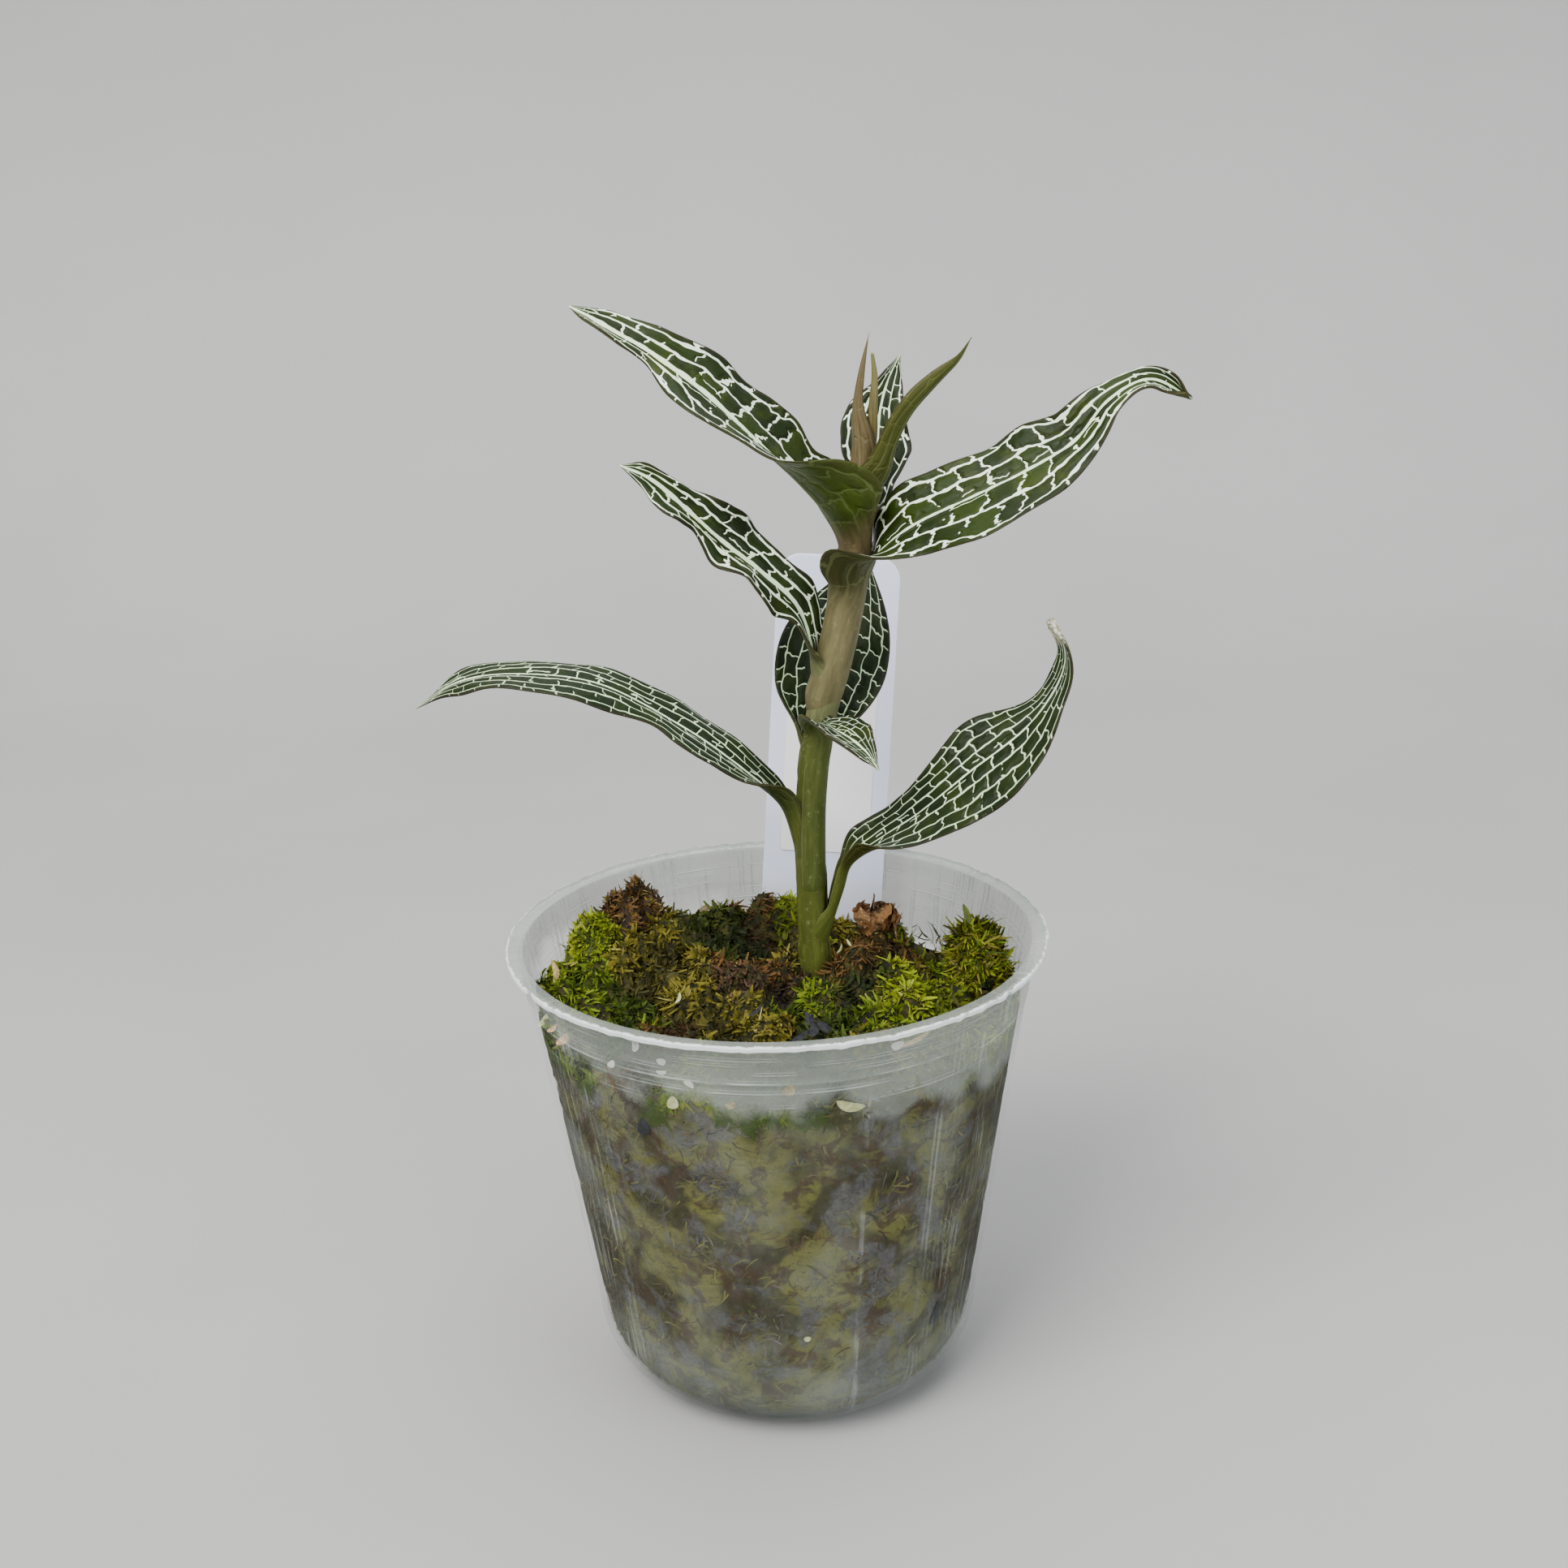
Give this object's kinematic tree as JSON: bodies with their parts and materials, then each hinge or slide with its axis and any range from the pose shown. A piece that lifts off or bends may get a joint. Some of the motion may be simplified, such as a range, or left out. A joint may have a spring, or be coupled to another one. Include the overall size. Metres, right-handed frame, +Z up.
{
  "type": "potted orchid plant",
  "caption": "Young jewel orchid with dark white-netted leaves, growing in moss in a soft see-through nursery pot, with a bare plant label stuck in behind it.",
  "frame": {"origin": "centre of the pot's flat base, on the surface it stands on", "axes": "+Z up; +Y towards the plant label at the back; +X to the right seen from the front"},
  "size_m": [0.0816, 0.0598, 0.1211],
  "materials": {
    "soft_clear_plastic": "soft see-through plastic, slightly milky",
    "moss_green": "damp packed moss",
    "moss_brown": "dead brown moss",
    "moss_bright": "bright living moss",
    "moss_olive": "olive moss",
    "dry_bark": "dry, rough",
    "label_plastic": "smooth lavender-white",
    "sticker_paper": "matt, bare",
    "stem_green": "fleshy, satin",
    "leaf_green": "satin leaf with a pale net of veins",
    "young_leaf_brown": "satin, olive brown"
  },
  "bodies": {
    "root": {"pot": "soft_clear_plastic", "moss_bed": "moss_green", "moss_tuft_brown_left": "moss_brown", "moss_tuft_green_left": "moss_bright", "moss_tuft_right": "moss_olive", "bark_chip": "dry_bark", "plant_label": "label_plastic", "label_sticker": "sticker_paper", "stem": "stem_green", "leaf_1": "leaf_green", "leaf_2": "leaf_green", "leaf_3": "leaf_green", "leaf_4": "leaf_green", "leaf_5": "leaf_green", "leaf_6": "leaf_green", "leaf_7": "leaf_green", "leaf_8": "leaf_green", "leaf_9": "young_leaf_brown", "spear_outer": "young_leaf_brown", "spear_inner": "young_leaf_brown"}
  },
  "joints": []
}
